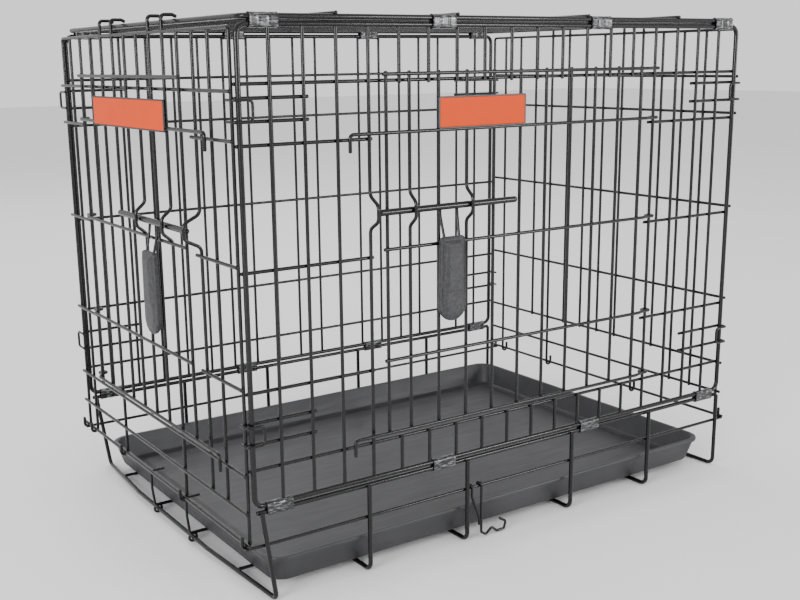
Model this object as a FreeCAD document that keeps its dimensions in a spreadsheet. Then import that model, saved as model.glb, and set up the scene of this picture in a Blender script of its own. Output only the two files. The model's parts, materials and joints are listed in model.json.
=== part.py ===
import FreeCAD, Part
import math
import os
import Sketcher
from FreeCAD import Placement, Rotation, Vector

# A folding wire dog crate.  +X runs along the long side, the long door faces -Y and the
# short door faces -X.  Z = 0 is the floor under the cross wires and the origin is the middle.

os.makedirs("parts", exist_ok=True)
doc = FreeCAD.newDocument("wire_dog_crate")
sheet = doc.addObject("Spreadsheet::Sheet", "sizes")

SIZES = {
    "post_x": 303.0,        # corner post axis from the middle, along X
    "post_y": 210.0,        # corner post axis from the middle, along Y
    "frame_r": 2.4,         # frame wire radius
    "wire_r": 1.65,         # grid wire radius
    "floor_r": 2.2,         # floor cross wire radius
    "thin_r": 1.3,          # hook and handle wire radius
    "bolt_r": 3.0,          # slide bolt radius
    "sink": 0.4,            # how far a weld sinks one wire into another
    "gap": 0.35,            # running clearance between loose wires
    "pitch": 32.3,          # upright spacing on the long sides
    "end_pitch": 31.6,      # upright spacing on the ends
    "corner_bend": 9.0,     # bend radius of frame corners
    "bump_bend": 7.0,       # bend radius where wires bulge out round a bolt
    "top_z": 510.0,         # axis of the top panel's frame
    "panel_top_z": 504.0,   # axis of a side panel's upper rail
    "panel_foot_z": 92.5,   # axis of a side panel's lower rail
    "skirt_z": 86.5,        # axis of the skirt rail, the fold's hinge line
    "ring_z": 58.4,         # axis of the floor's end wires, which the end panels hook onto
    "leg_y": 214.4,         # front legs stand outside the skirt rail
    "back_leg_y": 205.6,    # back legs stand inside it, clear of the folding back
    "top_x": 297.6,         # end wires of the top panel, which pass between the posts
    "level_1": 456.5,
    "level_2": 406.5,
    "level_3": 300.8,
    "level_4": 195.5,
    "level_5": 125.6,
    "end_x": 307.5,         # plane of the end panels' uprights
    "end_post_y": 206.0,
    "end_top_z": 501.5,
    "end_level_1": 451.0,
    "end_level_2": 411.0,
    "end_level_3": 307.0,
    "end_level_4": 200.5,
    "end_level_5": 122.3,
    "end_level_6": 87.0,
    "bolt_z": 342.0,        # height of the long door's bolt
    "end_bolt_z": 329.0,
    "grip_long": 80.0,
    "grip_wide": 31.0,
    "grip_thick": 10.0,
    "plate_thick": 1.6,
    "clip_long": 26.0,
    "clip_outer_x": 279.0,   # middle of the clips near the corners
    "clip_inner_x": 97.0,
    "clip_wall": 0.8,
    "clip_bite": 0.03,      # how far a clip is pressed into the rail that it grips
    "tray_x": 289.0,        # half length of the tray's rim
    "tray_y": 203.0,        # half width of the tray's rim
    "tray_base_z": 8.3,
    "tray_rim_z": 36.0,
    "tray_wall": 2.2,
}
for row, (alias, number) in enumerate(SIZES.items(), start=1):
    sheet.set("A%d" % row, alias)
    sheet.set("B%d" % row, repr(number))
    sheet.setAlias("B%d" % row, alias)
doc.recompute()

FRAME_R = sheet.frame_r
WIRE_R = sheet.wire_r
PITCH = sheet.pitch
ALONG_X = Rotation(Vector(0, 1, 0), 90)
ALONG_Y = Rotation(Vector(1, 0, 0), -90)
ALONG_Z = Rotation()
TURNS = {"x": ALONG_X, "y": ALONG_Y, "z": ALONG_Z}
nodes = []


def rod(way, radius, start, length):
    """A straight wire along X, Y or Z.  Each size is a sheet expression."""
    wire = doc.addObject("Part::Cylinder", "rod")
    wire.Placement = Placement(Vector(), TURNS[way])
    wire.setExpression("Radius", "sizes." + radius)
    wire.setExpression("Height", length)
    for letter, place in zip("xyz", start):
        wire.setExpression("Placement.Base." + letter, place)
    return wire


def group(label, members):
    """One node that holds several separate wires."""
    node = doc.addObject("Part::Compound", label)
    node.Label = label
    node.Links = members
    nodes.append(node)
    return node


def rods(label, way, radius, starts, length):
    return group(label, [rod(way, radius, start, length) for start in starts])


def mm(number):
    """A number as sheet expression text."""
    return "%.4f mm" % number


def size(name):
    return "sizes.%s * 1 mm" % name


def bend_pieces(points, radius, bend):
    """Solids of one bent wire: a cylinder for each straight run, a torus piece for each bend."""
    points = [Vector(*p) for p in points]
    pieces = []
    start = points[0]
    for before, corner, after in zip(points, points[1:], points[2:] + [None]):
        into = (corner - before).normalize()
        if after is None:
            pieces.append(Part.makeCylinder(radius, (corner - start).Length, start, into))
            break
        out = (after - corner).normalize()
        turn = into.getAngle(out)
        if turn < 1e-3:
            pieces.append(Part.makeCylinder(radius, (corner - start).Length, start, into))
            start = corner
            continue
        setback = bend * math.tan(turn / 2)
        arc_start = corner - into * setback
        if (arc_start - start).Length > 1e-3:
            pieces.append(Part.makeCylinder(radius, (arc_start - start).Length, start, into))
        axis = into.cross(out).normalize()
        centre = arc_start + axis.cross(into) * bend
        disc = Part.Face(Part.Wire(Part.makeCircle(radius, arc_start, into)))
        pieces.append(disc.revolve(centre, axis, math.degrees(turn)))
        start = corner + out * setback
    return pieces


def node_of(label, shapes):
    """A node whose bent shapes are worked out from the sheet."""
    node = doc.addObject("Part::Feature", label)
    node.Label = label
    node.Shape = shapes[0] if len(shapes) == 1 else Part.makeCompound(shapes)
    nodes.append(node)
    return node


def bent(label, paths, radius, bend):
    """A node of bent wires.  Runs and bends stay separate solids that meet face to face."""
    return node_of(label, [s for path in paths for s in bend_pieces(path, radius, bend)])


def loop_path(corners):
    """A closed path, started and ended in the middle of its first side."""
    first, second = Vector(*corners[0]), Vector(*corners[1])
    middle = tuple((first + second) * 0.5)
    return [middle] + corners[1:] + corners[:1] + [middle]


# ---- floor: cross wires turned up into legs, long wires, skirt rails and end wires ----
def floor():
    leg_y, back_y, base_z, rail_z = sheet.leg_y, sheet.back_leg_y, sheet.floor_r, sheet.skirt_z
    inner = [-186.0, -70.0, 70.0, 186.0]
    paths = []
    for x in inner:
        paths.append([(x, -leg_y, rail_z), (x, -leg_y, base_z), (x, back_y, base_z), (x, back_y, rail_z)])
    bent("floor_cross_wires", paths, sheet.floor_r, 8.0)
    right = 298.5
    bent("floor_right_end_wire", [[(right, -leg_y, rail_z), (right, -leg_y, base_z),
                                   (right, back_y, base_z), (right, back_y, rail_z)]], sheet.floor_r, 8.0)
    # the left end wire bows out and rises a little where the tray catches turn on it
    bow_x, bow_z, foot_x, top_x = -297.0, 6.4, -287.0, -298.5
    bent("floor_left_end_wire", [[(top_x, -leg_y, rail_z), (foot_x, -leg_y, base_z),
                                  (bow_x, -90.0, bow_z), (bow_x, 90.0, bow_z),
                                  (foot_x, back_y, base_z), (top_x, back_y, rail_z)]], sheet.floor_r, 6.0)
    long_z = "2 * sizes.floor_r * 1 mm + sizes.wire_r * 1 mm - sizes.sink * 1 mm"
    # each long wire butts on the bowed end wire, which is further in away from the middle
    tips, right_tip = {-147.0: -290.5, -45.0: -295.1, 45.0: -295.1, 147.0: -290.2}, 300.0
    group("floor_long_wires", [rod("x", "wire_r", (mm(tip), mm(y), long_z), mm(right_tip - tip))
                               for y, tip in tips.items()])
    rods("skirt_rails", "x", "floor_r",
         [(mm(-301.0), mm(y), size("skirt_z")) for y in (-sheet.post_y, sheet.post_y)], mm(602.0))
    inset = sheet.floor_r + WIRE_R - sheet.sink
    side_z = sheet.ring_z - 2 * WIRE_R + sheet.sink
    rods("skirt_side_wires", "x", "wire_r",
         [(mm(-314.0), mm(y), mm(side_z)) for y in (inset - leg_y, back_y - inset)], mm(628.0))
    rods("skirt_end_wires", "y", "wire_r",
         [(mm(side * hook_x()), mm(-214.0), size("ring_z")) for side in (-1, 1)], mm(428.0))


def hook_x():
    """Distance of the end panels' hinge line from the middle."""
    return sheet.end_x + 2 * WIRE_R + sheet.gap


# ---- long side panels ----
UPRIGHTS = [PITCH * (k + 0.5) for k in range(-9, 9)]
DOORWAY = 177.7     # the long doorway lies between the uprights at this distance


def side_frame(label, y):
    x, low, high = sheet.post_x, sheet.panel_foot_z, sheet.panel_top_z
    corners = [(-x, y, high), (x, y, high), (x, y, low), (-x, y, low)]
    bent(label, [loop_path(corners)], FRAME_R, sheet.corner_bend)


def stiffeners(label, y):
    """Pairs of short wires that stiffen the posts where the end panels' loops reach round."""
    starts = [(mm(x), mm(y), mm(z)) for z in (149.0, 168.5, 426.0, 445.0) for x in (-305.3, 237.0)]
    rods(label, "x", "wire_r", starts, mm(68.3))


def front_panel():
    y = -sheet.post_y
    inner_y = y + 2 * WIRE_R - sheet.sink
    side_frame("front_frame", y)
    foot = "sizes.panel_foot_z * 1 mm + sizes.frame_r * 1 mm - sizes.sink * 1 mm"
    span = "(sizes.panel_top_z - sizes.panel_foot_z - 2 * sizes.frame_r + 2 * sizes.sink) * 1 mm"
    full = [x for x in UPRIGHTS if abs(x) > DOORWAY or x > DOORWAY - 1]
    rods("front_uprights", "z", "wire_r", [(mm(x), mm(y), foot) for x in full], span)
    short = [x for x in UPRIGHTS if abs(x) < DOORWAY - 10]
    low = rods_list("z", [(mm(x), mm(y), foot) for x in short],
                    "(sizes.level_5 - sizes.panel_foot_z) * 1 mm")
    high = rods_list("z", [(mm(x), mm(y), "(sizes.level_1 - 2) * 1 mm") for x in short],
                     "(sizes.panel_top_z - sizes.level_1 + 2 - sizes.frame_r + sizes.sink) * 1 mm")
    group("front_short_uprights", low + high)
    wires = rods_list("x", [(mm(-305.3), mm(inner_y), size(n)) for n in ("level_1", "level_5")], mm(610.6))
    for n in ("level_2", "level_3", "level_4"):
        wires += rods_list("x", [(mm(x), mm(inner_y), size(n)) for x in (-305.3, 173.5)], mm(131.8))
    group("front_level_wires", wires)
    stiffeners("front_stiffeners", inner_y)
    keeper = bump_path("x", -DOORWAY + 0.05, y, sheet.panel_foot_z + 2, sheet.panel_top_z - 2,
                       sheet.bolt_z, keeper_y())
    bent("front_bolt_keeper", [keeper], WIRE_R, sheet.bump_bend)


def rods_list(way, starts, length):
    return [rod(way, "wire_r", start, length) for start in starts]


DOOR_Y = 3.65        # the long door's uprights stand this far outside the panel's
END_DOOR_OUT = 6.6   # the short door's stand further out, past the end panel's level wires


def bolt_out():
    """How far outside the panel's uprights a bolt's axis lies."""
    return DOOR_Y + WIRE_R + sheet.bolt_r + 0.15


def bump_out():
    """How far outside the panel's uprights a keeper's or a guide's crest lies."""
    return bolt_out() + sheet.bolt_r + WIRE_R + sheet.gap


def end_bump_out():
    return bump_out() - DOOR_Y + END_DOOR_OUT


def keeper_y():
    return -sheet.post_y - bump_out()


def bump_path(way, place, plane, low, high, bolt_z, crest):
    """An upright that bends outwards round a bolt.  way is the axis that place is measured on."""
    half, lead = 7.0, 15.0
    profile = [(plane, low), (plane, bolt_z - lead), (crest, bolt_z - half), (crest, bolt_z + half),
               (plane, bolt_z + lead), (plane, high)]
    if way == "x":
        return [(place, out, z) for out, z in profile]
    return [(out, place, z) for out, z in profile]


def back_panel():
    y = sheet.post_y
    inner_y = y - 2 * WIRE_R + sheet.sink
    side_frame("back_frame", y)
    foot = "sizes.panel_foot_z * 1 mm + sizes.frame_r * 1 mm - sizes.sink * 1 mm"
    span = "(sizes.panel_top_z - sizes.panel_foot_z - 2 * sizes.frame_r + 2 * sizes.sink) * 1 mm"
    rods("back_uprights", "z", "wire_r", [(mm(x), mm(y), foot) for x in UPRIGHTS], span)
    names = ["level_%d" % n for n in range(1, 6)]
    rods("back_level_wires", "x", "wire_r", [(mm(-305.3), mm(inner_y), size(n)) for n in names], mm(610.6))
    stiffeners("back_stiffeners", inner_y)


def top_panel():
    x, y, z = sheet.top_x, sheet.post_y, sheet.top_z
    bent("top_frame", [loop_path([(-x, -y, z), (x, -y, z), (x, y, z), (-x, y, z)])], FRAME_R, sheet.corner_bend)
    level = "(sizes.top_z + 0.4) * 1 mm"
    over = "(sizes.top_z + 0.4 + 2 * sizes.wire_r - sizes.sink) * 1 mm"
    long_y = [PITCH * (k + 0.5) for k in range(-6, 6)]
    rods("top_long_wires", "x", "wire_r", [(mm(-x + 2.0), mm(y), level) for y in long_y], mm(2 * x - 4.0))
    across = [-209.9, -80.7, 80.7, 209.9]
    rods("top_cross_wires", "y", "wire_r", [(mm(x), mm(-211.5), over) for x in across], mm(423.0))


def clip(x, y, low, high, low_r):
    """A sheet steel clip wrapped round two rails.  The section is two arcs joined by straight
    sides.  It grips the upper rail and turns on the lower one with running clearance."""
    def section(grow):
        a, b = low_r + sheet.gap + grow, FRAME_R - sheet.clip_bite + grow
        shape = Part.makeCylinder(a, sheet.clip_long, Vector(0, y, low), Vector(1, 0, 0))
        shape = shape.fuse(Part.makeCylinder(b, sheet.clip_long, Vector(0, y, high), Vector(1, 0, 0)))
        side = [Vector(0, y - a, low), Vector(0, y - b, high), Vector(0, y + b, high), Vector(0, y + a, low)]
        web = Part.Face(Part.makePolygon(side + side[:1])).extrude(Vector(sheet.clip_long, 0, 0))
        return shape.fuse(web).removeSplitter()
    sleeve = section(sheet.clip_wall).cut(section(0))
    sleeve.translate(Vector(x - sheet.clip_long / 2, 0, 0))
    return sleeve


def slotted(sleeve, upright_x, low, high):
    """The clip with a slot where a side panel's upright passes through its wall.  low and high are
    the slot's limits in y and z."""
    room = WIRE_R + sheet.gap
    return sleeve.cut(Part.makeBox(2 * room, high[0] - low[0], high[1] - low[1],
                                   Vector(upright_x - room, *low)))


def clips():
    clip_xs = (-sheet.clip_outer_x, -sheet.clip_inner_x, sheet.clip_inner_x, sheet.clip_outer_x)
    room, reach = WIRE_R + sheet.gap, 10.0      # reach is well outside a clip
    foot, top = sheet.panel_foot_z, sheet.panel_top_z
    for name, y in (("front", -sheet.post_y), ("back", sheet.post_y)):
        lower = [clip(x, y, sheet.skirt_z, foot, sheet.floor_r) for x in clip_xs]
        upper = [clip(x, y, top, sheet.top_z, FRAME_R) for x in clip_xs]
        # the outer clips are slotted: below for the upright, above for the sweep of the upright
        for place, upright_x in ((0, UPRIGHTS[0]), (-1, UPRIGHTS[-1])):
            lower[place] = slotted(lower[place], upright_x, (y - room, foot), (y + room, foot + reach))
            upper[place] = slotted(upper[place], upright_x, (y - reach, top - reach), (y + room, top + room))
        node_of(name + "_lower_clips", lower)
        node_of(name + "_upper_clips", upper)


# ---- end panels ----
END_UPRIGHTS = [181.5 - sheet.end_pitch * k for k in range(12)]
HOOKED = (3, 4, 7, 8)       # uprights that curl over the top panel's end wire
REACHING = (0, 3, 8)        # uprights that reach down and turn under the floor's end wire
KEEPER = 10                 # the short doorway's keeper upright
HINGE = 1                   # the short door turns on this upright


def foot_hook(side, x, y, start_z):
    """Path of an upright that drops inside the floor's end wire, under it and up outside it."""
    far = x + side * 2 * (2 * WIRE_R + sheet.gap)
    low = sheet.ring_z - 2 * WIRE_R - sheet.gap
    return [(x, y, start_z), (x, y, low), (far, y, low), (far, y, sheet.ring_z + 7.0)]


def curl(side, x, y, start_z):
    """Path of an upright that rises past the top panel's end wire and bends in over it."""
    reach = 11.0
    top = sheet.top_z + FRAME_R + WIRE_R + 2.2
    return [(x, y, start_z), (x, y, top), (x - side * reach, y, top), (x - side * (reach + 3.5), y, top - 1.6)]


def end_panel(name, side, has_door):
    x = side * sheet.end_x
    post_y, top, foot = sheet.end_post_y, sheet.end_top_z, sheet.end_level_6
    hook_gap = 2 * WIRE_R + sheet.gap
    low = sheet.ring_z - hook_gap
    far = x + side * 2 * hook_gap
    frame = [(far, -post_y, sheet.ring_z + 7), (far, -post_y, low), (x, -post_y, low), (x, -post_y, top),
             (x, post_y, top), (x, post_y, low), (far, post_y, low), (far, post_y, sheet.ring_z + 7)]
    bent(name + "_frame", [frame], WIRE_R, hook_gap - 0.01)
    outside = x + side * (2 * WIRE_R - sheet.sink)
    spans, special = [], []
    for k, y in enumerate(END_UPRIGHTS):
        base = (foot if k > KEEPER - 1 else sheet.end_level_5) - 1.0
        cut = has_door and HINGE < k < KEEPER
        start = sheet.end_level_1 - 2.0 if cut else (foot if k in REACHING else base)
        if k == KEEPER and has_door:
            plane = [bump_path("y", y, x, foot - 2.0, top, sheet.end_bolt_z, x + side * end_bump_out())]
            bent(name + "_bolt_keeper", plane, WIRE_R, sheet.bump_bend)
        elif k in HOOKED:
            special.append(curl(side, x, y, start))
            if k in REACHING:
                special.append(foot_hook(side, x, y, sheet.end_level_5 + 2.0 if cut else foot))
        elif k in REACHING:
            special.append(foot_hook(side, x, y, top))
        else:
            spans.append((y, start, top))
    group(name + "_uprights", [rod("z", "wire_r", (mm(x), mm(y), mm(a)), mm(b - a)) for y, a, b in spans])
    bent(name + "_hooked_uprights", special, WIRE_R, hook_gap - 0.01)
    half = post_y + 3.0
    full_names = ["end_level_1", "end_level_5", "end_level_6"]
    part_names = ["end_level_2", "end_level_3", "end_level_4"]
    if not has_door:
        full_names += part_names
    wires = rods_list("y", [(mm(outside), mm(-half), size(n)) for n in full_names], mm(2 * half))
    if has_door:
        near = END_UPRIGHTS[KEEPER] + 4.0 + half
        back = half - END_UPRIGHTS[HINGE] + 4.0
        for n in part_names:
            wires += rods_list("y", [(mm(outside), mm(-half), size(n))], mm(near))
            wires += rods_list("y", [(mm(outside), mm(half - back), size(n))], mm(back))
    group(name + "_level_wires", wires)
    loops(name, side, x)


def loops(name, side, x):
    """Loops on the end panel's edges.  The front ones bend round the front posts and the back
    ones lie flat outside the back posts, so that the sides can fold towards +Y."""
    clear = FRAME_R + sheet.thin_r + 0.6
    paths = []
    for low in (150.0, 426.5):
        high = low + 17.5
        edge = -sheet.end_post_y + 4.0
        front = -sheet.post_y - clear
        wrap = x - side * 15.0
        out = x + side * (WIRE_R + sheet.thin_r - sheet.sink)
        paths.append([(out, edge, high), (out, front, high), (wrap, front, high),
                      (wrap, front, low), (out, front, low), (out, edge, low)])
        back = sheet.post_y + clear + 5.0
        paths.append([(out, -edge, high), (out, back, high), (out, back, low), (out, -edge, low)])
    bent(name + "_post_loops", paths, sheet.thin_r, 4.0)


# ---- doors ----
def place(kind, across, out, z):
    """A point on a door: across is along the door, out is outside the panel's uprights."""
    if kind == "front":
        return (across, -sheet.post_y - out, z)
    return (-sheet.end_x - out, across, z)


def eye(kind, hinge, toward, out, z):
    """End of a door's level wire: it steps in from out and turns round the hinge upright.
    toward is the sign of the way from the hinge back to the door."""
    ring = 2 * WIRE_R + sheet.gap
    return [place(kind, hinge + toward * 17.0, out, z),
            place(kind, hinge + toward * (ring + 3.0), ring, z),
            place(kind, hinge - toward * ring, ring, z),
            place(kind, hinge - toward * ring, -ring, z),
            place(kind, hinge + toward * ring, -ring, z),
            place(kind, hinge + toward * ring, ring - 2.0, z)]


def door(kind, hinge, toward, xs, guides, free_edge, latch_reach, out, levels, bolt_z):
    """One wire door: uprights, guides bent round the bolt, and level wires with hinge eyes.
    The second level and the lowest one reach past the keeper and turn down as hooks."""
    low, high = levels[-1], levels[0]
    level_out = out + 2 * WIRE_R - sheet.sink
    uprights = []
    for across in xs:
        if across in guides:
            continue
        base = place(kind, across, out, low - 2.0)
        uprights.append(rod("z", "wire_r", [mm(v) for v in base], mm(high - low + 4.0)))
    group(kind + "_door_uprights", uprights)
    crest = bolt_out() + sheet.bolt_r + WIRE_R + sheet.gap + (out - DOOR_Y)
    half, lead = 7.0, 15.0
    paths = []
    for across in guides:
        profile = [(out, low - 2.0), (out, bolt_z - lead), (crest, bolt_z - half), (crest, bolt_z + half),
                   (out, bolt_z + lead), (out, high + 2.0)]
        paths.append([place(kind, across, o, z) for o, z in profile])
    bent(kind + "_door_guides", paths, WIRE_R, sheet.bump_bend)
    wires = []
    for n, z in enumerate(levels):
        round_hinge = eye(kind, hinge, toward, level_out, z)
        if n in (1, len(levels) - 1):
            start = [place(kind, latch_reach, level_out, z - 15.0), place(kind, latch_reach, level_out, z)]
        else:
            start = [place(kind, free_edge, level_out, z)]
        wires.append(start + round_hinge)
    bent(kind + "_door_level_wires", wires, WIRE_R, 2 * WIRE_R + sheet.gap - 0.02)
    return level_out


def bolt(kind, start, end, out, z):
    """A round slide bolt with domed ends, seen from one end to the other."""
    radius = sheet.bolt_r
    a, b = Vector(*place(kind, start, out, z)), Vector(*place(kind, end, out, z))
    way = (b - a).normalize()
    shaft = Part.makeCylinder(radius, (b - a).Length - 2 * radius, a + way * radius, way)
    shape = shaft.fuse(Part.makeSphere(radius, a + way * radius)).fuse(Part.makeSphere(radius, b - way * radius))
    node_of(kind + "_bolt", [shape.removeSplitter()])


def handle(kind, centre, out, z):
    """The bolt's handle: two wire legs that drop from the bolt into a moulded grip."""
    reach, spread = 9.75, sheet.bolt_r + sheet.gap
    grip_out = out + 6.0
    top = z - 27.0
    legs = []
    for side in (-1, 1):
        legs.append([place(kind, centre + side * reach, out, z - spread),
                     place(kind, centre + side * reach, out + 0.6, z - 9.0),
                     place(kind, centre + side * (reach - 1.5), grip_out, top - 6.0),
                     place(kind, centre + side * (reach - 1.5), grip_out, top - 30.0)])
    bent(kind + "_handle_wire", legs, sheet.thin_r, 6.0)
    body = doc.addObject("PartDesign::Body", kind + "_handle_grip")
    body.Label = kind + "_handle_grip"
    sketch = body.newObject("Sketcher::SketchObject", kind + "_grip_outline")
    plane = next(f for f in body.Origin.OriginFeatures if f.Role == "XZ_Plane")
    sketch.AttachmentSupport = [(plane, "")]
    sketch.MapMode = "FlatFace"
    half = sheet.grip_wide / 2
    low = -sheet.grip_long + half
    points = [Vector(-half + 3, 0, 0), Vector(half - 3, 0, 0), Vector(half, low, 0), Vector(-half, low, 0)]
    sketch.addGeometry(Part.LineSegment(points[0], points[1]), False)
    sketch.addGeometry(Part.LineSegment(points[1], points[2]), False)
    arc = Part.Arc(points[2], Vector(0, -sheet.grip_long, 0), points[3])
    sketch.addGeometry(arc, False)
    sketch.addGeometry(Part.LineSegment(points[3], points[0]), False)
    for first, end, second, start in ((0, 2, 1, 1), (1, 2, 2, 2), (2, 1, 3, 1), (3, 2, 0, 1)):
        sketch.addConstraint(Sketcher.Constraint("Coincident", first, end, second, start))
    pad = body.newObject("PartDesign::Pad", kind + "_grip_pad")
    pad.Profile = sketch
    pad.Midplane = True
    pad.setExpression("Length", "sizes.grip_thick * 1 mm")
    doc.recompute()
    rounding = body.newObject("PartDesign::Chamfer", kind + "_grip_bevel")
    rounding.Base = (pad, ["Face%d" % (n + 1) for n, f in enumerate(pad.Shape.Faces)
                           if abs(f.normalAt(0, 0).y) > 0.99])
    rounding.Size = 2.0
    turn = Rotation() if kind == "front" else Rotation(Vector(0, 0, 1), -90)
    body.Placement = Placement(Vector(*place(kind, centre, grip_out, top)), turn)
    nodes.append(body)


def plate(kind, low, high, level_out, z):
    """A thin plate with rounded corners, clipped to the door's wires."""
    body = doc.addObject("PartDesign::Body", kind + "_door_plate")
    body.Label = kind + "_door_plate"
    sketch = body.newObject("Sketcher::SketchObject", kind + "_plate_outline")
    plane = next(f for f in body.Origin.OriginFeatures if f.Role == "XZ_Plane")
    sketch.AttachmentSupport = [(plane, "")]
    sketch.MapMode = "FlatFace"
    half, tall = (high - low) / 2, 14.5
    corners = [Vector(-half, -tall, 0), Vector(half, -tall, 0), Vector(half, tall, 0), Vector(-half, tall, 0)]
    for first, second in zip(corners, corners[1:] + corners[:1]):
        sketch.addGeometry(Part.LineSegment(first, second), False)
    for n in range(4):
        sketch.addConstraint(Sketcher.Constraint("Coincident", n, 2, (n + 1) % 4, 1))
    pad = body.newObject("PartDesign::Pad", kind + "_plate_pad")
    pad.Profile = sketch
    pad.Midplane = True
    pad.setExpression("Length", "sizes.plate_thick * 1 mm")
    doc.recompute()
    rounding = body.newObject("PartDesign::Fillet", kind + "_plate_corners")
    rounding.Base = (pad, ["Edge%d" % (n + 1) for n, e in enumerate(pad.Shape.Edges)
                           if abs(e.Length - sheet.plate_thick) < 0.01])
    rounding.Radius = 1.5
    out = level_out + WIRE_R + sheet.plate_thick / 2
    turn = Rotation() if kind == "front" else Rotation(Vector(0, 0, 1), -90)
    body.Placement = Placement(Vector(*place(kind, (low + high) / 2, out, z)), turn)
    nodes.append(body)


def doors():
    pitch = 32.4
    xs = [154.5 - pitch * k for k in range(10)] + [-162.0]
    levels = [462.0, 411.6, 308.0, 204.8, 135.0]
    out = door("front", DOORWAY - 0.05, -1, xs, (xs[7], xs[9]), -167.0, -201.5, DOOR_Y, levels, sheet.bolt_z)
    bolt("front", -175.0, -15.0, bolt_out(), sheet.bolt_z)
    handle("front", -97.0, bolt_out(), sheet.bolt_z)
    plate("front", -108.5, -6.0, out, 427.0)
    ys = [133.0 - 31.4 * k for k in range(9)]
    levels = [462.0, 417.0, 313.0, 206.5, 133.0]
    out = door("end", END_UPRIGHTS[HINGE], -1, ys, (ys[5], ys[7]), -124.0, -172.0, END_DOOR_OUT, levels,
               sheet.end_bolt_z)
    far_out = bolt_out() - DOOR_Y + END_DOOR_OUT
    bolt("end", -131.8, 32.0, far_out, sheet.end_bolt_z)
    handle("end", -55.0, far_out, sheet.end_bolt_z)
    plate("end", -95.0, 86.0, out, 428.0)


# ---- tray, its catches and the closure hook ----
def rounded_box(half_x, low_y, high_y, z, radius):
    """Outline of a rounded rectangle at height z."""
    box = Part.makePlane(2 * half_x, high_y - low_y, Vector(-half_x, low_y, z))
    shape = box.extrude(Vector(0, 0, 1))
    shape = shape.makeFillet(radius, [e for e in shape.Edges if abs(e.tangentAt(e.FirstParameter).z) > 0.99])
    return next(f for f in shape.Faces if abs(f.CenterOfMass.z - z) < 1e-6).OuterWire


def tray():
    """A moulded tray with sloped walls and a flat lip round its rim."""
    x, y, base, rim, wall = sheet.tray_x, sheet.tray_y, sheet.tray_base_z, sheet.tray_rim_z, sheet.tray_wall
    front, back = -y - 4.0, y - 2.5
    slope = 9.0
    outer = Part.makeLoft([rounded_box(x - slope, front + slope, back - slope, base, 14.0),
                           rounded_box(x - 2.0, front + 2.0, back - 2.0, rim, 16.0)], True)
    inner = Part.makeLoft([rounded_box(x - slope - wall, front + slope + wall, back - slope - wall,
                                       base + wall, 12.0),
                           rounded_box(x - 2.0 - wall, front + 2.0 + wall, back - 2.0 - wall,
                                       rim + 0.02, 14.0)], True)
    lip = Part.Face(rounded_box(x, front, back, rim - wall, 18.0)).extrude(Vector(0, 0, wall))
    node_of("tray", [outer.fuse(lip).cut(inner).removeSplitter()])


def catches():
    """Two wire catches that turn on the floor's left end wire and keep the tray in."""
    ring = sheet.floor_r + sheet.thin_r + 0.5
    x, z = -297.0, 6.4
    for name, y in (("near", -56.0), ("far", 34.0)):
        path = [(x - ring, y, z + 1.0), (x - ring, y, z - ring), (x + ring, y, z - ring),
                (x + ring, y, z + ring), (x - ring + 1.0, y, z + ring), (x - 5.4, y, 30.0),
                (x - 5.4, y, 50.0), (x + 9.0, y, 50.0)]
        bent("tray_catch_" + name, [path], sheet.thin_r, ring - 0.4)


def closure_hook():
    """The hook that holds the folded crate shut: two eyes on the skirt's side wire, two legs
    that meet, and an S-shaped tip."""
    ring = WIRE_R + sheet.thin_r + 0.4
    y = -(sheet.leg_y - sheet.floor_r - WIRE_R + sheet.sink)
    z = sheet.ring_z - 2 * WIRE_R + sheet.sink
    hang = y - ring
    paths = []
    for x, foot_x in ((-64.0, -54.6), (-52.0, -52.0)):
        paths.append([(x, y + ring, z - 1.0), (x, y + ring, z + ring), (x, hang, z + ring),
                      (x, hang, z - 9.0), (foot_x, hang, z - 34.0), (foot_x, hang, 15.0)])
    tip = [(-52.0, hang, 15.0), (-52.0, hang, 6.0), (-46.0, hang, 2.0), (-38.0, hang, 8.0), (-32.0, hang, 2.4),
           (-22.0, hang, 2.4), (-20.0, hang, 10.0), (-28.0, hang, 15.0)]
    bent("closure_hook", paths[:1] + [paths[1][:-1] + tip], sheet.thin_r, 2.4)


floor()
front_panel()
back_panel()
top_panel()
clips()
end_panel("left_end", -1, True)
end_panel("right_end", 1, False)
doors()
tray()
catches()
closure_hook()
doc.recompute()

for item in doc.Objects:
    if "Invalid" in item.State or "Error" in item.State:
        raise RuntimeError("%s failed: %s" % (item.Label, item.State))
for node in nodes:
    shape = node.Shape
    if shape.isNull() or not shape.isValid() or not shape.Solids:
        raise RuntimeError("%s has no valid solid" % node.Label)
for node in nodes:
    node.Shape.exportStep("parts/%s.step" % node.Label)
    box = node.Shape.BoundBox
    print("%-28s %3d solids  x %.1f %.1f  y %.1f %.1f  z %.1f %.1f" % (
        node.Label, len(node.Shape.Solids), box.XMin, box.XMax, box.YMin, box.YMax, box.ZMin, box.ZMax))
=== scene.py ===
import json
import math
import bmesh
import bpy
import numpy as np
from mathutils import Matrix, Vector


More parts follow.
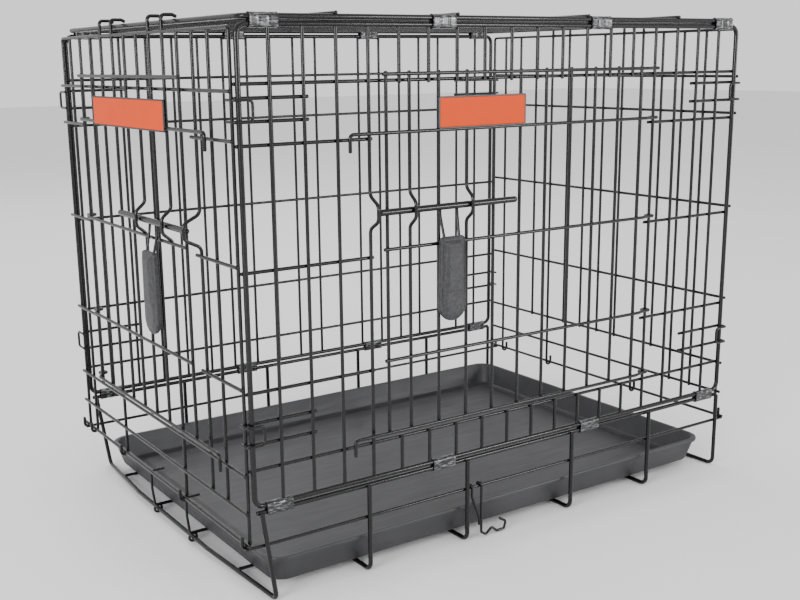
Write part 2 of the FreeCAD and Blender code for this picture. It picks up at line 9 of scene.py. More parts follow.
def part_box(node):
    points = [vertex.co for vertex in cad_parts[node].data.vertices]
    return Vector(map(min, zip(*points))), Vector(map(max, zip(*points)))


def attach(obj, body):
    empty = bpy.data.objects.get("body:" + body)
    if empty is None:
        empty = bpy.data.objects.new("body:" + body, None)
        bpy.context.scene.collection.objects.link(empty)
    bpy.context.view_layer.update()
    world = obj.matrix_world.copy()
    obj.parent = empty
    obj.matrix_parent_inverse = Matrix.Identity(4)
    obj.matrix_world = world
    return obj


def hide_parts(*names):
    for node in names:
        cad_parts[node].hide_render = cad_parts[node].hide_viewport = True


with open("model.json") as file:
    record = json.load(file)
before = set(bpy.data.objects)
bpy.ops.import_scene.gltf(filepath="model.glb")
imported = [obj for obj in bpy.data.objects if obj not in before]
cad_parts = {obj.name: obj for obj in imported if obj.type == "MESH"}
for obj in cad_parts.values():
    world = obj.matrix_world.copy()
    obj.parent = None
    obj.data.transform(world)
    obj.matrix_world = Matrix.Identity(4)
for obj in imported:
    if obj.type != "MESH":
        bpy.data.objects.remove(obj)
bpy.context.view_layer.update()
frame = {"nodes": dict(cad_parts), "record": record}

bl_info = {
    "name": "Wire Dog Crate Finish",
    "version": (1, 0, 0),
    "blender": (4, 5, 0),
    "location": "View3D > Sidebar > Crate",
    "description": "Gives a folding wire dog crate its tray, grips, plates, clips and coated wire",
    "category": "Object",
}

MM = 0.001
BARE_STEEL = "#9a9b9f"
ORANGE_DRIFT = "#d44300"
BLACK_ABS_PALE = "#2a2a2d"
PAPER_PALE = "#f7f7f7"

CLIP_LONG, CLIP_PITCH, CLIP_WALL = 26.0 * MM, 182.0 * MM, 0.75 * MM

FLOOR_REACH = 12.0
WORLD_LOW, WORLD_HIGH = 1.15, 0.95
# name, place in metres, size in metres, power in watts
SOFTBOXES = (("key", (-2.1, -1.1, 0.8), 0.8, 40.0), ("fill", (1.5, -2.3, 0.6), 0.6, 28.0),
             ("back", (0.4, 2.4, 2.4), 1.0, 20.0), ("overhead", (0.0, 0.0, 3.2), 2.4, 20.0))
SOFTBOX_AIM = (0, 0, 0.2)

CAMERA_PLACE = (-0.7066, -1.02, 0.4737)
# bearing from +Y towards +X, angle down, and roll, in degrees
CAMERA_TURN = (33.4, 12.82, -0.8)
CAMERA_LENS, CAMERA_SHIFT = 49.3, (0.0294, 0.012)


# ---- small helpers ----
def linear(hex_code):
    """An sRGB hex colour as linear red, green, blue and alpha."""
    parts = [int(hex_code[n:n + 2], 16) / 255 for n in (1, 3, 5)]
    return [p / 12.92 if p <= 0.04045 else ((p + 0.055) / 1.055) ** 2.4 for p in parts] + [1.0]


def add_node(tree, kind, values=None, links=None, **settings):
    """Adds one shader node: its settings, the values of its inputs and the links into them."""
    node = tree.nodes.new(kind)
    for name, setting in settings.items():
        setattr(node, name, setting)
    for name, value in (values or {}).items():
        node.inputs[name].default_value = value
    for name, source in (links or {}).items():
        tree.links.new(source, node.inputs[name])
    return node


def new_material(name, **sockets):
    """A material with one Principled shader and the Object coordinates that its patterns read."""
    material = bpy.data.materials.new(name)
    material.use_nodes = True
    tree = material.node_tree
    tree.nodes.clear()
    shader = add_node(tree, "ShaderNodeBsdfPrincipled", values=sockets)
    add_node(tree, "ShaderNodeOutputMaterial", links={"Surface": shader.outputs[0]})
    place = add_node(tree, "ShaderNodeTexCoord").outputs["Object"]
    return material, tree, shader, place


def noise(tree, place, size_mm, detail=3.0, roughness=0.5):
    """Noise whose features are about size_mm across."""
    values = {"Scale": 1.0 / (size_mm * MM), "Detail": detail, "Roughness": roughness}
    return add_node(tree, "ShaderNodeTexNoise", values, {"Vector": place})


def remap(tree, source, low, high, start=0.3, end=0.7):
    """Stretches a pattern's start to end over low to high."""
    values = {"From Min": start, "From Max": end, "To Min": low, "To Max": high}
    return add_node(tree, "ShaderNodeMapRange", values, {"Value": source}).outputs[0]


def stretched(tree, place, scale):
    """Coordinates that draw a pattern out along X."""
    return add_node(tree, "ShaderNodeMapping", {"Scale": (scale, 1.0, 1.0)},
                    {"Vector": place}).outputs[0]


def product(tree, first, second):
    """Two patterns multiplied together."""
    return add_node(tree, "ShaderNodeMath", links={0: first, 1: second}, operation="MULTIPLY").outputs[0]


def mottle(tree, shader, factor, dark, pale):
    """Colour that drifts between two near shades."""
    mix = add_node(tree, "ShaderNodeMix", {6: dark, 7: pale}, {0: factor}, data_type="RGBA")
    tree.links.new(mix.outputs[2], shader.inputs["Base Color"])


def bump(tree, shader, height, depth_mm, strength=1.0):
    """Relief of depth_mm from a 0 to 1 height pattern."""
    node = add_node(tree, "ShaderNodeBump", {"Distance": depth_mm * MM, "Strength": strength},
                    {"Height": height})
    tree.links.new(node.outputs[0], shader.inputs["Normal"])


# ---- materials ----
def coated_wire(look):
    """Steel wire with a baked black epoxy coat: near black, satin, with a soft orange peel that
    breaks up its long highlights and slightly paler where the coat is thin."""
    material, tree, shader, place = new_material(
        "black epoxy coated steel wire", **{"Roughness": 0.3, "IOR": 1.5, "Specular IOR Level": 0.22,
                                            "Coat Weight": 0.3, "Coat Roughness": 0.1})
    drift = remap(tree, noise(tree, place, 22.0).outputs[0], 0.0, 1.0)
    mottle(tree, shader, drift, linear(look.wire_dark), linear(look.wire_pale))
    peel = noise(tree, place, 1.6, 2.0)
    tree.links.new(remap(tree, peel.outputs[0], 0.2, 0.34), shader.inputs["Roughness"])
    bump(tree, shader, peel.outputs[0], 0.02, 0.4)
    return material


def clip_steel(look):
    """Thin sheet steel, crimped and coated: the coat is rubbed through to bare metal in streaks
    along the bends, so it glints more than the wire."""
    material, tree, shader, place = new_material(
        "crimped sheet steel under black lacquer", **{"Roughness": 0.3, "Metallic": 0.3,
                                                      "Coat Weight": 0.2, "Coat Roughness": 0.25})
    rub = noise(tree, stretched(tree, place, 0.25), 1.4, 5.0, 0.65)
    worn = remap(tree, rub.outputs[0], 0.0, 0.9, 0.5, 0.68)
    mottle(tree, shader, worn, linear(look.wire_dark), linear(BARE_STEEL))
    tree.links.new(remap(tree, rub.outputs[0], 0.0, 0.9, 0.56, 0.72), shader.inputs["Metallic"])
    bump(tree, shader, rub.outputs[0], 0.08, 0.5)
    return material


def tray_plastic(look):
    """Thermoformed black polypropylene sheet: a fine leather-like grain, a dull sheen and faint
    long scuffs on its floor."""
    material, tree, shader, place = new_material(
        "grained black polypropylene sheet", **{"Roughness": 0.45, "IOR": 1.49,
                                                "Specular IOR Level": 0.5})
    cloud = noise(tree, place, 60.0, 4.0)
    scuff = noise(tree, stretched(tree, place, 0.12), 7.0, 5.0, 0.6)
    blend = remap(tree, product(tree, cloud.outputs[0], scuff.outputs[0]), 0.0, 1.0, 0.14, 0.4)
    mottle(tree, shader, blend, linear(look.tray_dark), linear(look.tray_pale))
    grain = add_node(tree, "ShaderNodeTexVoronoi", {"Scale": 1.0 / (1.1 * MM)}, {"Vector": place})
    tree.links.new(remap(tree, scuff.outputs[0], 0.36, 0.55), shader.inputs["Roughness"])
    bump(tree, shader, grain.outputs["Distance"], 0.10, 0.55)
    return material


def grip_rubber(look):
    """Soft moulded vinyl with a pebbled grain: dark grey, with painted highlights on its pebbles and
    painted shade in its hollows.
    """
    material, tree, shader, place = new_material(
        "pebbled dark grey moulded vinyl", **{"Roughness": 0.42, "IOR": 1.52, "Sheen Weight": 0.08})
    pebble = add_node(tree, "ShaderNodeTexVoronoi", {"Scale": 1.0 / (0.95 * MM)}, {"Vector": place})
    patch = noise(tree, place, 3.5, 3.0)
    spacing = pebble.outputs["Distance"]
    # Painted light: the colour follows the grain's relief, pale on the raised pebbles as a painted
    # highlight and dark in the hollows as painted shade.
    blend = remap(tree, product(tree, spacing, patch.outputs[0]), 0.0, 1.0, 0.16, 0.42)
    mottle(tree, shader, blend, linear(look.grip_dark), linear(look.grip_painted_highlight))
    tree.links.new(remap(tree, spacing, 0.34, 0.6, 0.1, 0.6), shader.inputs["Roughness"])
    bump(tree, shader, spacing, 0.22, 0.8)
    return material


def orange_plastic(look):
    """Printed orange polystyrene plate: even, glossy, with the faintest ripple of moulding."""
    material, tree, shader, place = new_material(
        "printed orange polystyrene", **{"Roughness": 0.4, "Specular IOR Level": 0.1})
    drift = remap(tree, noise(tree, place, 30.0).outputs[0], 0.0, 1.0)
    mottle(tree, shader, drift, linear(look.plate_colour), linear(ORANGE_DRIFT))
    bump(tree, shader, noise(tree, place, 6.0, 1.0).outputs[0], 0.03, 0.3)
    return material


def black_plastic(look):
    """Moulded black ABS of the plates' backing: satin, with a fine spark-eroded texture."""
    material, tree, shader, place = new_material("satin black ABS", **{"Roughness": 0.4, "IOR": 1.53})
    fine = noise(tree, place, 0.8, 2.0)
    mottle(tree, shader, remap(tree, fine.outputs[0], 0.0, 1.0), linear(look.wire_dark),
           linear(BLACK_ABS_PALE))
    bump(tree, shader, fine.outputs[0], 0.04, 0.5)
    return material


# ---- surfaces ----
def quad_faces(rows, columns, wrap_rows=False, wrap_columns=False):
    """Corner numbers of the quads of a grid whose points are stored row by row."""
    r = np.arange(rows if wrap_rows else rows - 1)
    c = np.arange(columns if wrap_columns else columns - 1)
    row, column = np.meshgrid(r, c, indexing="ij")
    below, right = (row + 1) % rows, (column + 1) % columns
    quads = (row * columns + column, row * columns + right,
             below * columns + right, below * columns + column)
    return np.stack(quads, -1).reshape(-1, 4)


def make_piece(name, points, faces, material, body, cad_nodes=(), flat_angle=32.0):
    """Puts computed points and faces into a mesh, closes it, turns its faces outwards, shades it
    smooth up to flat_angle and hands it to its body."""
    mesh = bpy.data.meshes.new(name)
    points = np.asarray(points, float).reshape(-1, 3)
    mesh.from_pydata(points.tolist(), [], [list(map(int, face)) for face in faces])
    work = bmesh.new()
    work.from_mesh(mesh)
    bmesh.ops.remove_doubles(work, verts=work.verts, dist=0.004 * MM)
    bmesh.ops.dissolve_degenerate(work, edges=work.edges, dist=0.002 * MM)
    bmesh.ops.recalc_face_normals(work, faces=work.faces)
    for edge in work.edges:
        edge.smooth = len(edge.link_faces) == 2 and edge.calc_face_angle(0.0) < math.radians(flat_angle)
    for face in work.faces:
        face.smooth = True
    work.to_mesh(mesh)
    work.free()
    mesh.materials.append(material)
    piece = bpy.data.objects.new(name, mesh)
    bpy.context.scene.collection.objects.link(piece)
    if cad_nodes:
        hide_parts(*cad_nodes)
    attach(piece, body)
    return piece


def rounded_rectangle(half_x, half_y, radius, steps=10):
    """Points of a rounded rectangle: four quarter circles joined by straight sides."""
    quarter = np.linspace(0, math.pi / 2, steps + 1)
    parts = []
    for number, (side_x, side_y) in enumerate(((1, 1), (-1, 1), (-1, -1), (1, -1))):
        angle = quarter + number * math.pi / 2
        parts.append(np.stack([side_x * (half_x - radius) + radius * np.cos(angle),
                               side_y * (half_y - radius) + radius * np.sin(angle)], -1))
    return np.concatenate(parts)


def nested_rings(half_x, half_y, profile, radius_of):
    """Rings of rounded rectangles: each profile step is an inset from the outline and a height."""
    rings = []
    for inset, height in profile:
        flat = rounded_rectangle(half_x - inset, half_y - inset, radius_of(inset))
        rings.append(np.concatenate([flat, np.full((len(flat), 1), height)], -1))
    return np.array(rings)


def capped(rings):
    """Faces of stacked rings closed by one flat face at each end."""
    count, ring = rings.shape[:2]
    faces = quad_faces(count, ring, wrap_columns=True).tolist()
    return faces + [list(range(ring))[::-1], list(range((count - 1) * ring, count * ring))]


def box_seen(kind, node):
    """A CAD node's lowest and highest corner, and its size (across, out, up) seen from its side."""
    low, high = (np.array(v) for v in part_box(node))
    size = high - low
    return low, high, size if kind == "front" else size[[1, 0, 2]]


def facing(kind, points, centre):
    """Turns points given as (across, out, up) to the long side (front) or the end of the crate."""
    across, out, up = points[..., 0], points[..., 1], points[..., 2]
    if kind == "front":
        return np.stack([centre[0] + across, centre[1] - out, centre[2] + up], -1)
    return np.stack([centre[0] - out, centre[1] - across, centre[2] + up], -1)


# ---- settings ----
def length(name, description, default):
    """A size that the user can change."""
    return bpy.props.FloatProperty(name=name, description=description, default=default, unit="LENGTH",
                                   subtype="DISTANCE")


def colour(name, description, default):
    """A colour that the user can change, as an sRGB hex code."""
    return bpy.props.StringProperty(name=name, description=description, default=default)


class CrateLook(bpy.types.PropertyGroup):
    """Colours, as sRGB hex codes."""
    wire_dark: colour("Wire", "Coat of the wire", "#060607")
    wire_pale: colour("Wire, thin coat", "Coat of the wire where it is thin", "#0c0c0e")
    tray_dark: colour("Tray", "Tray's main colour", "#252528")
    tray_pale: colour("Tray scuffs", "Tray where it is scuffed", "#36363a")
    # The grips' two colours are painted light: dark in the hollows of the grain as painted shade, pale on
    # the pebbles as a painted highlight.
    grip_dark: colour("Grip", "Hollows of the grips' grain", "#111113")
    grip_painted_highlight: colour("Grip pebbles", "Pebbles of the grips' grain", "#37373b")
    plate_colour: colour("Plates", "Door plates", "#d03e00")
    floor_colour: colour("Studio floor", "Floor and backdrop", "#f4f4f4")


class WireSettings(bpy.types.PropertyGroup):
    """Ends of the coated wires."""
    thickest: length("Thickest", "Diameter of the thickest wire end", 5.5 * MM)
    meeting: length("Meeting", "Ends nearer to each other than this are one bent wire", 0.2 * MM)
    dome: bpy.props.FloatProperty(name="Dome", description="Height of a rounded end, in wire radii",
                                  default=0.55)


class TraySettings(bpy.types.PropertyGroup):
    """Moulded tray."""
    wall: length("Sheet", "Thickness of the plastic sheet", 2.0 * MM)
    corner: length("Corner", "Radius of the rim's corners", 20.0 * MM)
    channel: length("Channel", "Width of the channel round the floor", 16.0 * MM)


class GripSettings(bpy.types.PropertyGroup):
    """Moulded handle grips."""
    stitch: length("Stitch", "Length of one stitch of the edge seam", 2.6 * MM)
    seam: length("Seam", "Distance of the seam from the edge", 2.3 * MM)
    step: length("Step", "Height of the step across the pad", 1.6 * MM)


class PlateSettings(bpy.types.PropertyGroup):
    """Door plates."""
    rim: length("Rim", "Width of the dark rim", 1.4 * MM)
    corner: length("Corner", "Radius of the plate's corners", 1.8 * MM)


class ClipSettings(bpy.types.PropertyGroup):
    """Sheet steel clips."""
    crimp: length("Crimp", "Depth of the crimps across a clip", 0.35 * MM)
    flare: length("Flare", "How far a clip's ends stand out", 0.3 * MM)


# ---- operators ----
class CRATE_OT_coat_wires(bpy.types.Operator):
    """Give every wire, frame and bolt its coat"""
    bl_idname = "crate.coat_wires"
    bl_label = "Coat the wires"

    def execute(self, context):
        coat = coated_wire(context.scene.crate_look)
        for node in frame["nodes"].values():
            node.data.materials.clear()
            node.data.materials.append(coat)
        return {"FINISHED"}


class CRATE_OT_make_tray(bpy.types.Operator):
    """Make the moulded tray: one closed shell of nested rounded rectangles"""
    bl_idname = "crate.make_tray"
    bl_label = "Make the tray"

    def execute(self, context):
        sizes = context.scene.crate_tray
        low, high = (np.array(v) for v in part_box("tray"))
        half_x, half_y = (high - low)[:2] / 2
        wall, channel, base, rim = sizes.wall, sizes.channel, low[2], high[2]
        middle = half_y - 4 * MM
        foot, floor_z = 9.0 * MM, base + wall + 2.4 * MM
        # inset and height, from the middle of the underside, round the rim, to the middle of the
        # floor: foot is how far the underside's edge stands in from the rim
        profile = [(middle, base + 2.4 * MM), (foot + channel + 9 * MM, base + 2.4 * MM),
                   (foot + channel + 5 * MM, base + 0.3 * MM), (foot + channel + 3 * MM, base),
                   (foot + 3 * MM, base), (foot + 1 * MM, base + 0.5 * MM), (foot, base + 1.8 * MM),
                   (3.0 * MM, rim - 6.5 * MM), (2.4 * MM, rim - 5.0 * MM), (0.6 * MM, rim - 4.2 * MM),
                   (0.1 * MM, rim - 3.2 * MM), (0.0, rim - 1.6 * MM), (0.4 * MM, rim - 0.5 * MM),
                   (1.3 * MM, rim), (3.2 * MM, rim), (4.3 * MM, rim - 0.5 * MM),
                   (5.0 * MM, rim - 1.8 * MM), (foot + wall + 0.2 * MM, base + wall + 3.2 * MM),
                   (foot + wall + 1.2 * MM, base + wall + 1.0 * MM),
                   (foot + wall + 3.2 * MM, base + wall), (foot + channel, base + wall),
                   (foot + channel + 3 * MM, base + wall + 0.4 * MM),
                   (foot + channel + 6 * MM, floor_z - 0.3 * MM),
                   (foot + channel + 8 * MM, floor_z), (foot + channel + 40 * MM, floor_z),
                   (middle, floor_z)]

        def radius_of(inset):
            return max(sizes.corner - 0.45 * inset, 3.0 * MM)

        rings = nested_rings(half_x, half_y, profile, radius_of)
        rings[..., :2] += (low + high)[:2] / 2
        make_piece("moulded_tray", rings, capped(rings), tray_plastic(context.scene.crate_look),
                   "tray_body", ["tray"])
        return {"FINISHED"}


def grip_surface(half_wide, tall, thick, sizes):
    """Front and back sheets of a grip.  A point is at height z and at v times the half width
    there, with its distance d from the outline as depth = bulge(d): a rolled edge, a stitched
    seam and a raised pad with a step across its lower third.  The outline has a round foot
    and a top with small corners."""
    corner = 4.5 * MM
    s = np.linspace(0, 1, 150)
    up = -tall + tall * (0.5 - 0.5 * np.cos(math.pi * s) * (1 - 0.35 * np.sin(math.pi * s)))
    v = np.sin(np.linspace(-math.pi / 2, math.pi / 2, 61))
    foot_centre = -tall + half_wide
    taper = 1.0 - 0.10 * np.clip((up - foot_centre) / (tall - half_wide), 0, 1)
    below = np.sqrt(np.clip(half_wide ** 2 - np.clip(foot_centre - up, 0, half_wide) ** 2, 0, None))
    above = corner - np.sqrt(np.clip(corner ** 2 - np.clip(up + corner, 0, corner) ** 2, 0, None))
    half = below * taper - above
    z, side = np.meshgrid(up, v, indexing="ij")
    across = half[:, None] * side
    to_side = half[:, None] - np.abs(across)
    to_foot = half_wide - np.hypot(across, np.minimum(z - foot_centre, 0))
    d = np.maximum(np.minimum(np.minimum(to_side, to_foot), -z), 0)
    edge = np.sqrt(np.clip(1 - (1 - np.clip(d / (1.8 * MM), 0, 1)) ** 2, 0, None))
    seam = np.exp(-((d - sizes.seam) / (0.45 * MM)) ** 2)
    stitches = 0.5 + 0.5 * np.cos(2 * math.pi * z / sizes.stitch)
    pad = 1 - np.exp(-(np.clip(d - 3.2 * MM, 0, None) / (2.6 * MM)) ** 2)
    above_step = z + 0.63 * tall + 0.9 * MM * np.cos(across / half_wide * 3)
    step = 0.5 + 0.5 * np.tanh(above_step / (0.7 * MM))
    out = (thick * 0.26 * edge - 0.8 * MM * seam * (1 - 0.6 * stitches)
           + pad * (thick * 0.12 + sizes.step * step))
    back = -thick * 0.26 * edge - pad * thick * 0.10
    return np.stack([across, out, z], -1), np.stack([across, back, z], -1)


class CRATE_OT_make_grips(bpy.types.Operator):
    """Make the two moulded grips that hang from the bolts"""
    bl_idname = "crate.make_grips"
    bl_label = "Make the grips"

    def execute(self, context):
        vinyl = grip_rubber(context.scene.crate_look)
        for kind in ("front", "end"):
            node = kind + "_handle_grip"
            low, high, (wide, thick, tall) = box_seen(kind, node)
            sheets = grip_surface(wide / 2, tall, thick, context.scene.crate_grip)
            centre = (low + high) / 2
            centre[2] = high[2]
            points = np.concatenate([facing(kind, sheet, centre).reshape(-1, 3) for sheet in sheets])
            rows, columns = sheets[0].shape[:2]
            faces = quad_faces(rows, columns)
            faces = np.concatenate([faces, faces + rows * columns])
            make_piece(kind + "_moulded_grip", points, faces, vinyl, kind + "_handle",
                       [node])
        return {"FINISHED"}


class CRATE_OT_make_plates(bpy.types.Operator):
    """Make the plain orange plates and the dark backings that hold them to the doors"""
    bl_idname = "crate.make_plates"
    bl_label = "Make the plates"

    def execute(self, context):
        look, sizes = context.scene.crate_look, context.scene.crate_plate
        orange, black = orange_plastic(look), black_plastic(look)
        for kind in ("front", "end"):
            node = kind + "_door_plate"
            low, high, (wide, thick, tall) = box_seen(kind, node)
            centre = (low + high) / 2
            face, back, rim = thick / 2, -thick / 2, sizes.rim
            backing = [(4 * MM, back), (0.5 * MM, back), (0, back + 0.4 * MM), (0, face - 0.2 * MM),
                       (0.2 * MM, face), (rim - 0.2 * MM, face), (rim, face - 0.2 * MM),
                       (rim, face - 0.7 * MM), (4 * MM, face - 0.7 * MM)]
            plate = [(4 * MM, back + 0.5 * MM), (rim + 0.05 * MM, back + 0.5 * MM),
                     (rim + 0.05 * MM, face - 0.25 * MM), (rim + 0.25 * MM, face - 0.05 * MM),
                     (rim + 0.6 * MM, face), (4 * MM, face)]
            for name, profile, finish in (("plate_backing", backing, black),
                                          ("plain_plate", plate, orange)):
                rings = nested_rings(wide / 2, tall / 2, profile,
                                     lambda inset: max(sizes.corner - inset, 0.4 * MM))
                make_piece("%s_door_%s" % (kind, name), facing(kind, rings[..., [0, 2, 1]], centre),
                           capped(rings), finish, kind + "_door", [node])
        return {"FINISHED"}


def clip_surface(start, low, high, low_r, high_r, sizes):
    """One clip: an oval section round both rails, carried along X.  Its ends flare, two crimps
    cross it and a lapped seam runs along it.  The outer wall turns in at the ends to the inner."""
    turn = np.linspace(0, 2 * math.pi, 44, endpoint=False)
    upper = np.sin(turn) >= 0
    radius = np.where(upper, high_r, low_r)
    centre_z = np.where(upper, high[1], low[1])
    s = np.concatenate([[0, 0.012, 0.03, 0.06], np.linspace(0.1, 0.9, 25), [0.94, 0.97, 0.988, 1]])
    flare = sizes.flare * (np.exp(-s / 0.03) + np.exp(-(1 - s) / 0.03))
    crimp = sizes.crimp * (np.exp(-((s - 0.32) / 0.03) ** 2) + np.exp(-((s - 0.68) / 0.03) ** 2))
    lap = 0.35 * MM / (1 + np.exp((np.abs(turn - 1.25 * math.pi) - 0.35) / 0.04))
    lapped = lap[None, :] * (1 - np.exp(-s / 0.02))[:, None]
    outer = radius[None, :] + flare[:, None] - crimp[:, None] + lapped
    inner = radius[None, :] + flare[:, None] - CLIP_WALL
    walls = np.concatenate([outer, inner[::-1]])
    along = np.concatenate([s, s[::-1]])[:, None] + 0 * turn[None, :]
    y = low[0] + walls * np.cos(turn)[None, :]
    z = centre_z[None, :] + walls * np.sin(turn)[None, :]
    return np.stack([start + CLIP_LONG * along, y, z], -1)


class CRATE_OT_make_clips(bpy.types.Operator):
    """Make the sheet steel clips that hinge the panels on each other"""
    bl_idname = "crate.make_clips"
    bl_label = "Make the clips"

    def execute(self, context):
        steel = clip_steel(context.scene.crate_look)
        for side in ("front", "back"):
            for level in ("lower", "upper"):
                node = "%s_%s_clips" % (side, level)
                low, high = (np.array(v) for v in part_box(node))
                y = (low[1] + high[1]) / 2
                radius = (high - low)[1] / 2 - 0.05 * MM
                low_r = radius - (0.2 * MM if level == "lower" else 0)
                ends = ((y, low[2] + low_r), (y, high[2] - radius))
                last = high[0] - CLIP_LONG
                points, faces = [], []
                for start in (low[0], low[0] + CLIP_PITCH, last - CLIP_PITCH, last):
                    surface = clip_surface(start, *ends, low_r, radius, context.scene.crate_clip)
                    rows, columns = surface.shape[:2]
                    faces.append(quad_faces(rows, columns, True, True) + sum(len(p) for p in points))
                    points.append(surface.reshape(-1, 3))
                body = side + "_panel" if level == "lower" else "top_panel"
                make_piece("%s_%s_crimped_clips" % (side, level), np.concatenate(points),
                           np.concatenate(faces), steel, body, [node], flat_angle=50.0)
        return {"FINISHED"}


def island_labels(count, edges):
    """A number for each vertex: the lowest vertex number of the island that it belongs to.
    Each pass gives both ends of every edge the lower of their two labels."""
    labels = np.arange(count)
    while True:
        lowest = labels.copy()
        np.minimum.at(lowest, edges[:, 0], labels[edges[:, 1]])
        np.minimum.at(lowest, edges[:, 1], labels[edges[:, 0]])
        lowest = lowest[lowest]
        if (lowest == labels).all():
            return labels
        labels = lowest


def flat_ends(node, widest):
    """Centre, outward direction and radius of each flat round face of a node of wires."""
    mesh = node.data
    points = np.empty(len(mesh.vertices) * 3)
    mesh.vertices.foreach_get("co", points)
    points = points.reshape(-1, 3)
    edges = np.empty(len(mesh.edges) * 2, int)
    mesh.edges.foreach_get("vertices", edges)
    normals = np.empty(len(mesh.polygons) * 3)
    mesh.polygons.foreach_get("normal", normals)
    starts = np.empty(len(mesh.polygons), int)
    mesh.polygons.foreach_get("loop_start", starts)
    corners = np.empty(len(mesh.loops), int)
    mesh.loops.foreach_get("vertex_index", corners)
    labels = island_labels(len(points), edges.reshape(-1, 2))
    face_label = labels[corners[starts]]
    found = []
    for label in np.unique(labels):
        own = normals.reshape(-1, 3)[face_label == label]
        if len(own) < 4 or (own @ own[0]).min() < 0.999:
            continue
        ring = points[labels == label]
        centre = (ring.min(0) + ring.max(0)) / 2
        radius = np.linalg.norm(ring - centre, axis=1).max()
        if radius < widest:
            found.append((centre, own[0], radius))
    return found


def dome(centre, direction, radius, height):
    """A low dome on a wire's end: rings of radius r cos(t) at height h sin(t), closed below."""
    t = np.linspace(0, math.pi / 2, 5)
    side = np.cross(direction, (0.3, 0.5, 0.8))
    side /= np.linalg.norm(side)
    other = np.cross(direction, side)
    turn = np.linspace(0, 2 * math.pi, 12, endpoint=False)
    spokes = side * np.cos(turn)[:, None] + other * np.sin(turn)[:, None]
    reach = np.concatenate([[0.0, 1.0], np.cos(t)[:-1], [0.0]]) * radius
    lift = np.concatenate([[-0.3, -0.3], np.sin(t)[:-1], [1.0]]) * height
    return centre + spokes[None] * reach[:, None, None] + direction * lift[:, None, None]


class CRATE_OT_round_wire_ends(bpy.types.Operator):
    """Round the cut ends of the wires, where the coat has drawn into low domes"""
    bl_idname = "crate.round_wire_ends"
    bl_label = "Round the wire ends"

    def execute(self, context):
        coat = coated_wire(context.scene.crate_look)
        sizes = context.scene.crate_wire
        for body, nodes in frame["record"]["behaviour"]["bodies"].items():
            ends = [end for node in nodes if self.is_wire(node)
                    for end in flat_ends(frame["nodes"][node], sizes.thickest / 2)]
            if not ends:
                continue
            centres = np.array([end[0] for end in ends])
            points, faces, count = [], [], 0
            for number, (centre, direction, radius) in enumerate(ends):
                apart = np.linalg.norm(centres - centre, axis=1)
                apart[number] = 1.0
                if apart.min() < sizes.meeting:
                    continue
                surface = dome(centre, direction, radius * 0.98, radius * sizes.dome)
                rows, columns = surface.shape[:2]
                points.append(surface.reshape(-1, 3))
                faces.append(quad_faces(rows, columns, wrap_columns=True) + count)
                count += rows * columns
            if points:
                make_piece(body + "_wire_ends", np.concatenate(points), np.concatenate(faces), coat,
                           body)
        return {"FINISHED"}

    def is_wire(self, node):
        """Whether a node is made of cut wire: all but the tray, grips, plates, clips and bolts."""
        return not (node == "tray" or node.endswith(("_grip", "_plate", "_clips", "_bolt")))


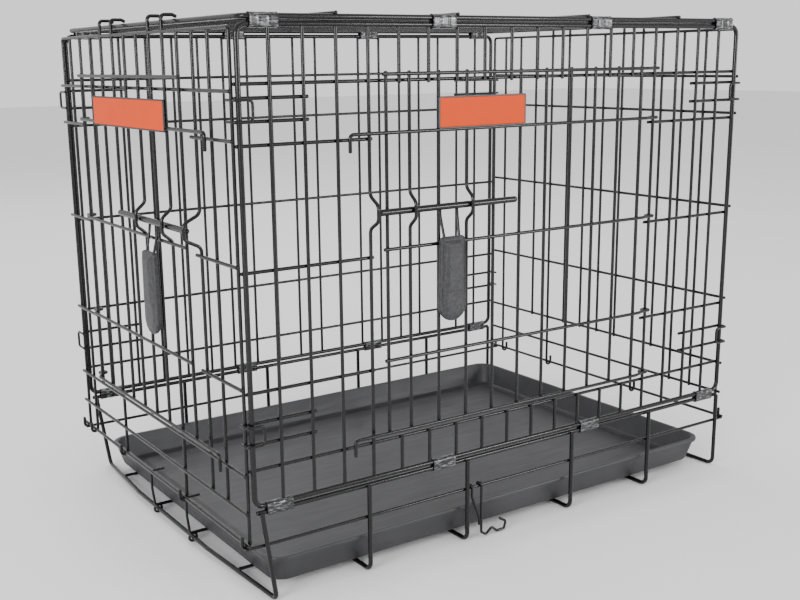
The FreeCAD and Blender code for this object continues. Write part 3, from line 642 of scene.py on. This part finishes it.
class CRATE_OT_make_stage(bpy.types.Operator):
    """Make the pale floor, the soft lights and the camera"""
    bl_idname = "crate.make_stage"
    bl_label = "Make the studio"

    def execute(self, context):
        scene = context.scene
        self.floor(scene)
        self.lights(scene)
        self.camera(scene)
        return {"FINISHED"}

    def floor(self, scene):
        """A flat sheet of paper, wide enough to meet the pale surroundings."""
        material, tree, shader, place = new_material("matt white studio paper", **{"Roughness": 0.9})
        drift = remap(tree, noise(tree, place, 400.0).outputs[0], 0.0, 1.0)
        mottle(tree, shader, drift, linear(scene.crate_look.floor_colour), linear(PAPER_PALE))
        mesh = bpy.data.meshes.new("studio_floor")
        corners = [(x * FLOOR_REACH, y * FLOOR_REACH, 0)
                   for x, y in ((-1, -1), (1, -1), (1, 1), (-1, 1))]
        mesh.from_pydata(corners, [], [(0, 1, 2, 3)])
        mesh.materials.append(material)
        floor = bpy.data.objects.new("studio_floor", mesh)
        scene.collection.objects.link(floor)

    def lights(self, scene):
        """White surroundings, a little brighter low down, and four square softboxes aimed at the crate."""
        world = bpy.data.worlds.new("soft white studio")
        scene.world = world
        world.use_nodes = True
        tree = world.node_tree
        background = tree.nodes["Background"]
        background.inputs["Color"].default_value = (1.0, 1.0, 1.0, 1.0)
        direction = add_node(tree, "ShaderNodeTexCoord").outputs["Generated"]
        height = add_node(tree, "ShaderNodeSeparateXYZ", links={"Vector": direction}).outputs["Z"]
        fade = {"From Min": 0.0, "From Max": 0.8, "To Min": WORLD_LOW, "To Max": WORLD_HIGH}
        level = add_node(tree, "ShaderNodeMapRange", fade, {"Value": height},
                         interpolation_type="SMOOTHSTEP").outputs[0]
        tree.links.new(level, background.inputs["Strength"])
        for name, spot, size, power in SOFTBOXES:
            data = bpy.data.lights.new(name + "_softbox", "AREA")
            data.shape, data.size, data.energy = "SQUARE", size, power
            light = bpy.data.objects.new(name + "_softbox", data)
            light.location = spot
            aim = Vector(SOFTBOX_AIM) - Vector(spot)
            light.rotation_euler = aim.to_track_quat("-Z", "Y").to_euler()
            scene.collection.objects.link(light)

    def camera(self, scene):
        """Looks along the bearing, down and with the roll that CAMERA_TURN gives."""
        yaw, pitch, roll = (math.radians(v) for v in CAMERA_TURN)
        ahead = Vector((math.sin(yaw) * math.cos(pitch), math.cos(yaw) * math.cos(pitch),
                        -math.sin(pitch)))
        right = Vector((math.cos(yaw), -math.sin(yaw), 0))
        up = right.cross(ahead)
        tilted_right = right * math.cos(roll) + up * math.sin(roll)
        tilted_up = up * math.cos(roll) - right * math.sin(roll)
        data = bpy.data.cameras.new("camera")
        data.sensor_width, data.lens = 36.0, CAMERA_LENS
        data.shift_x, data.shift_y = CAMERA_SHIFT
        data.clip_start, data.clip_end = 0.05, 60.0
        camera = bpy.data.objects.new("camera", data)
        turn = Matrix((tilted_right, tilted_up, -ahead)).transposed().to_4x4()
        camera.matrix_world = Matrix.Translation(Vector(CAMERA_PLACE)) @ turn
        scene.collection.objects.link(camera)
        scene.camera = camera


class CRATE_PT_panel(bpy.types.Panel):
    """Lists the crate's pieces"""
    bl_idname = "CRATE_PT_panel"
    bl_label = "Wire dog crate"
    bl_space_type = "VIEW_3D"
    bl_region_type = "UI"
    bl_category = "Crate"

    def draw(self, context):
        for operator in OPERATORS:
            self.layout.operator(operator.bl_idname)
        for name in SETTINGS:
            group = getattr(context.scene, name)
            box = self.layout.box()
            for field in group.bl_rna.properties:
                if not field.is_readonly and field.identifier != "name":
                    box.prop(group, field.identifier)


OPERATORS = (CRATE_OT_coat_wires, CRATE_OT_round_wire_ends, CRATE_OT_make_tray, CRATE_OT_make_grips,
             CRATE_OT_make_plates, CRATE_OT_make_clips, CRATE_OT_make_stage)
SETTINGS = {"crate_look": CrateLook, "crate_wire": WireSettings, "crate_tray": TraySettings,
            "crate_grip": GripSettings, "crate_plate": PlateSettings, "crate_clip": ClipSettings}


def register():
    for made in (*SETTINGS.values(), *OPERATORS, CRATE_PT_panel):
        bpy.utils.register_class(made)
    for name, group in SETTINGS.items():
        setattr(bpy.types.Scene, name, bpy.props.PointerProperty(type=group))


def unregister():
    for name in SETTINGS:
        delattr(bpy.types.Scene, name)
    for made in (CRATE_PT_panel, *reversed(OPERATORS), *SETTINGS.values()):
        bpy.utils.unregister_class(made)


def main():
    register()
    bpy.ops.crate.coat_wires()
    bpy.ops.crate.round_wire_ends()
    bpy.ops.crate.make_tray()
    bpy.ops.crate.make_grips()
    bpy.ops.crate.make_plates()
    bpy.ops.crate.make_clips()
    bpy.ops.crate.make_stage()


if __name__ == "__main__":
    main()
